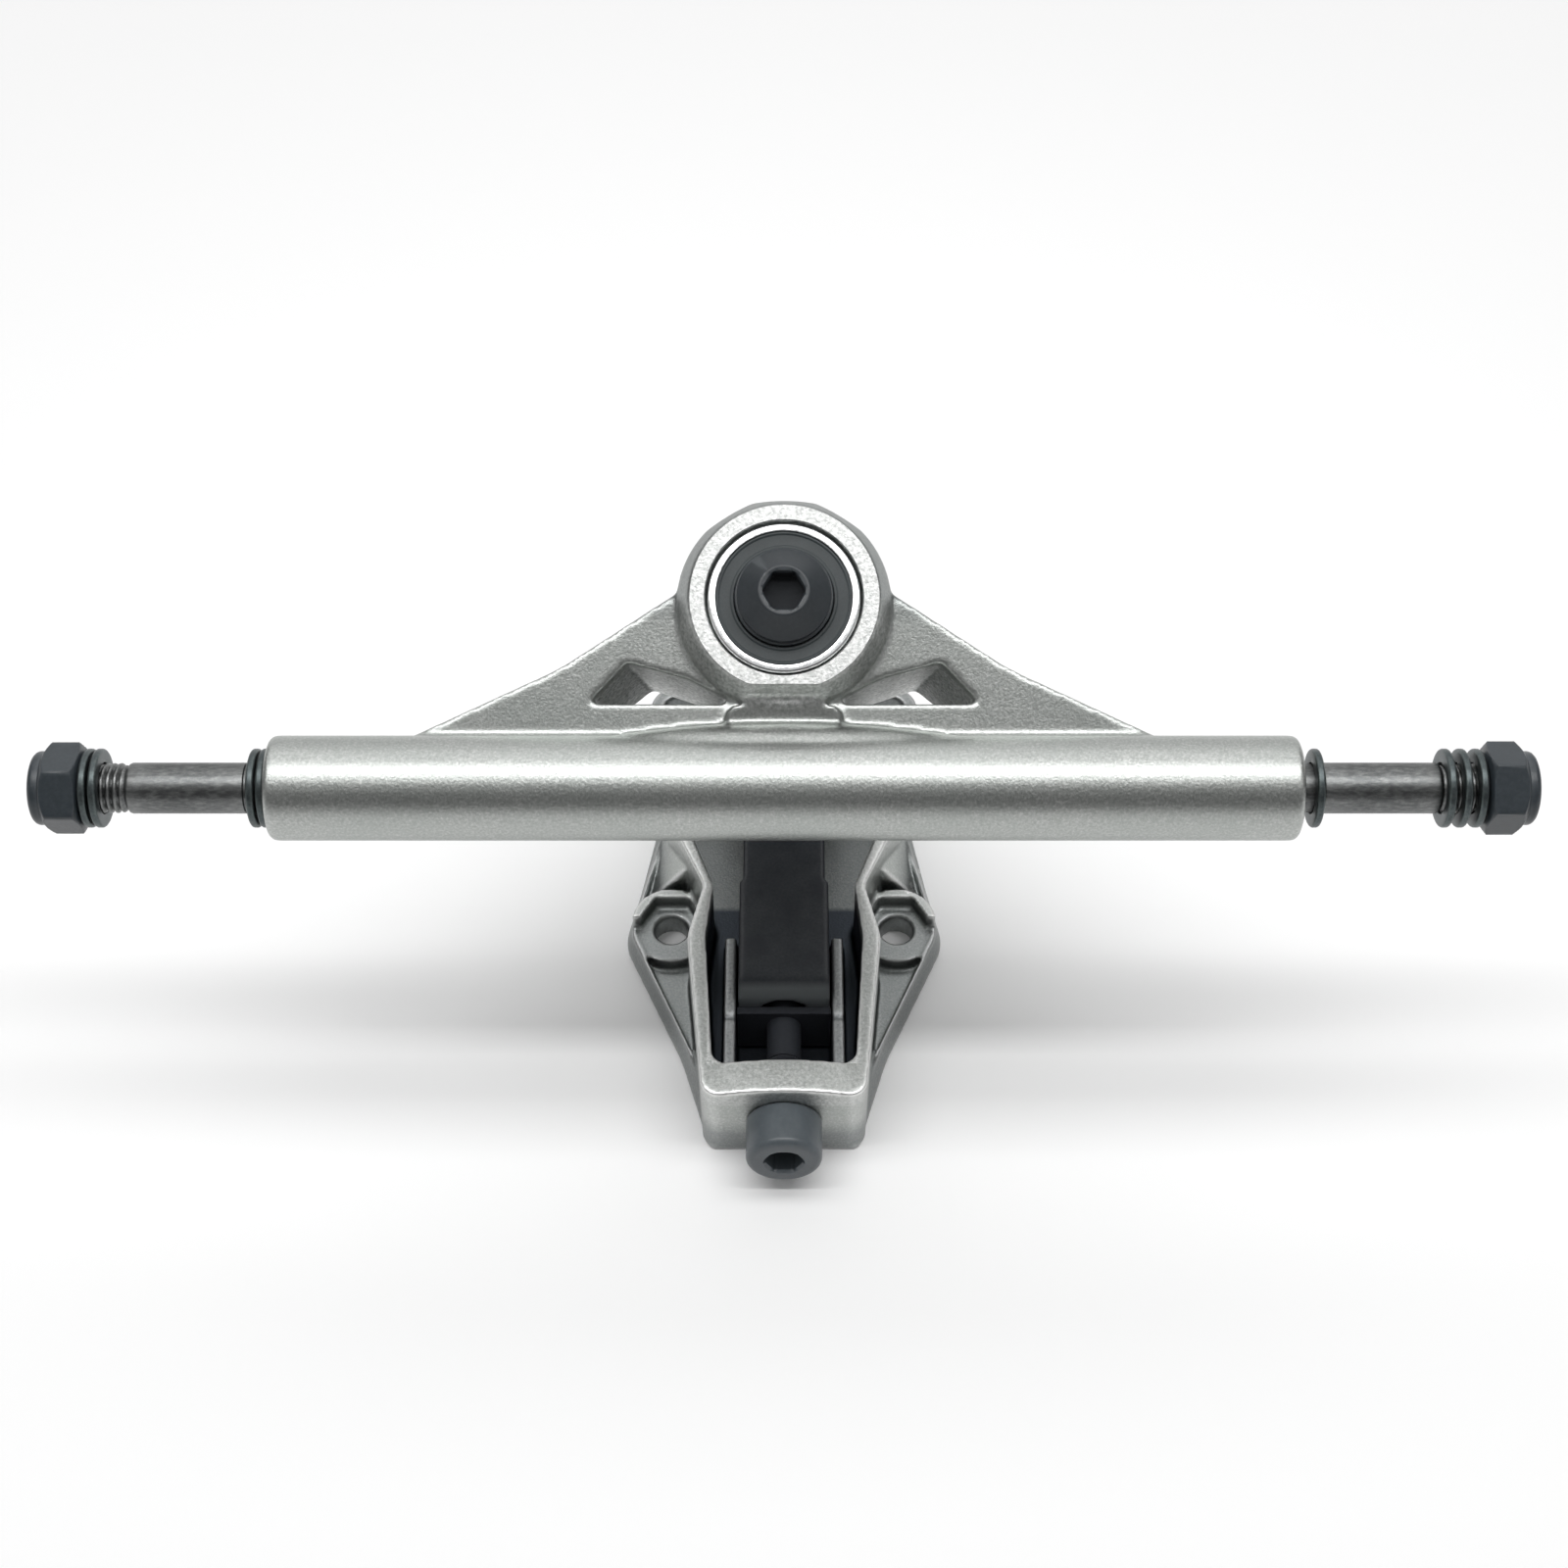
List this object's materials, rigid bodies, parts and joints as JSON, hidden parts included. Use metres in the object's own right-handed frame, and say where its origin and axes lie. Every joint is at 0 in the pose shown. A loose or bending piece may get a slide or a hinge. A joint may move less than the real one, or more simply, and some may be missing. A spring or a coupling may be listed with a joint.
{
  "type": "skateboard truck",
  "caption": "Surf skateboard front truck: a cast hanger with a through axle swings on a leaning ball-bearing pivot over a cast baseplate with a sprung return block.",
  "frame": {"origin": "centre of the four deck holes on the deck face of the baseplate", "axes": "+X along the axle, +Y from the nose to the tail, +Z away from the deck"},
  "size_m": [0.234, 0.1191, 0.1005],
  "materials": {
    "cast_alloy": "satin cast and tumbled aluminium, lightly speckled",
    "axle_steel": "scuffed gunmetal steel",
    "black_oxide": "blue-black oxide finish",
    "ring_steel": "blackened thin washers",
    "pivot_steel": "ground steel",
    "bearing_steel": "polished bearing steel",
    "cage_steel": "pressed steel cage",
    "seal_rubber": "black lip seal",
    "lock_nylon": "dark locking insert",
    "urethane": "matte black cast urethane",
    "spring_steel": "oiled spring wire"
  },
  "bodies": {
    "base": {"baseplate": "cast_alloy", "kingpin": "pivot_steel", "pivot_cap_screw": "black_oxide", "pivot_cap_washer": "black_oxide", "bearing_spacer": "pivot_steel", "seat_washer": "pivot_steel", "upper_bearing_inner_race": "bearing_steel", "lower_bearing_inner_race": "bearing_steel", "return_block": "urethane", "return_spring": "spring_steel"},
    "hanger_body": {"hanger": "cast_alloy", "axle": "axle_steel", "upper_bearing_outer_race": "bearing_steel", "upper_bearing_seals": "seal_rubber", "lower_bearing_outer_race": "bearing_steel", "lower_bearing_seals": "seal_rubber"},
    "upper_balls": {"upper_bearing_balls": "bearing_steel", "upper_bearing_cage": "cage_steel"},
    "lower_balls": {"lower_bearing_balls": "bearing_steel", "lower_bearing_cage": "cage_steel"},
    "preload_cup": {"thrust_cup": "black_oxide"},
    "preload_bolt": {"preload_screw": "black_oxide"},
    "left_nut": {"axle_nut_left": "black_oxide", "nut_insert_left": "lock_nylon", "speed_rings_left_outer": "ring_steel"},
    "right_nut": {"axle_nut_right": "black_oxide", "nut_insert_right": "lock_nylon", "speed_rings_right_outer": "ring_steel"},
    "left_inner_rings": {"speed_rings_left_inner": "ring_steel"},
    "right_inner_ring": {"speed_ring_right_inner": "ring_steel"}
  },
  "joints": [
    {"name": "hanger_turn", "type": "hinge", "parent": "base", "child": "hanger_body", "pos_m": [0, 0.0274, 0], "axis": [0, -0.5, 0.866], "range_deg": [-30, 30], "stiffness_Nm_per_rad": 8, "deforming": ["return_block", "return_spring"]},
    {"name": "upper_balls_turn", "type": "hinge", "parent": "base", "child": "upper_balls", "pos_m": [0, 0.0274, 0], "axis": [0, -0.5, 0.866], "range_deg": [-18, 18]},
    {"name": "lower_balls_turn", "type": "hinge", "parent": "base", "child": "lower_balls", "pos_m": [0, 0.0274, 0], "axis": [0, -0.5, 0.866], "range_deg": [-18, 18]},
    {"name": "preload_travel", "type": "slide", "parent": "base", "child": "preload_cup", "axis": [0, -1, 0], "range_m": [0, 0.006]},
    {"name": "preload_turn", "type": "hinge", "parent": "preload_cup", "child": "preload_bolt", "pos_m": [0, -0.0705, 0.0094], "axis": [0, -1, 0], "range_deg": [0, 1730]},
    {"name": "left_nut_slide", "type": "slide", "parent": "hanger_body", "child": "left_nut", "axis": [-1, 0, 0], "range_m": [0, 0.062]},
    {"name": "right_nut_slide", "type": "slide", "parent": "hanger_body", "child": "right_nut", "axis": [1, 0, 0], "range_m": [0, 0.062]},
    {"name": "left_rings_slide", "type": "slide", "parent": "hanger_body", "child": "left_inner_rings", "axis": [-1, 0, 0], "range_m": [0, 0.02]},
    {"name": "right_ring_slide", "type": "slide", "parent": "hanger_body", "child": "right_inner_ring", "axis": [1, 0, 0], "range_m": [-0.0018, 0.018]}
  ],
  "couplings": [
    {"joint": "upper_balls_turn", "follows": "hanger_turn", "ratio": 0.59722},
    {"joint": "lower_balls_turn", "follows": "hanger_turn", "ratio": 0.59722},
    {"joint": "preload_turn", "follows": "preload_travel", "rad_per_m": 5026.5}
  ]
}
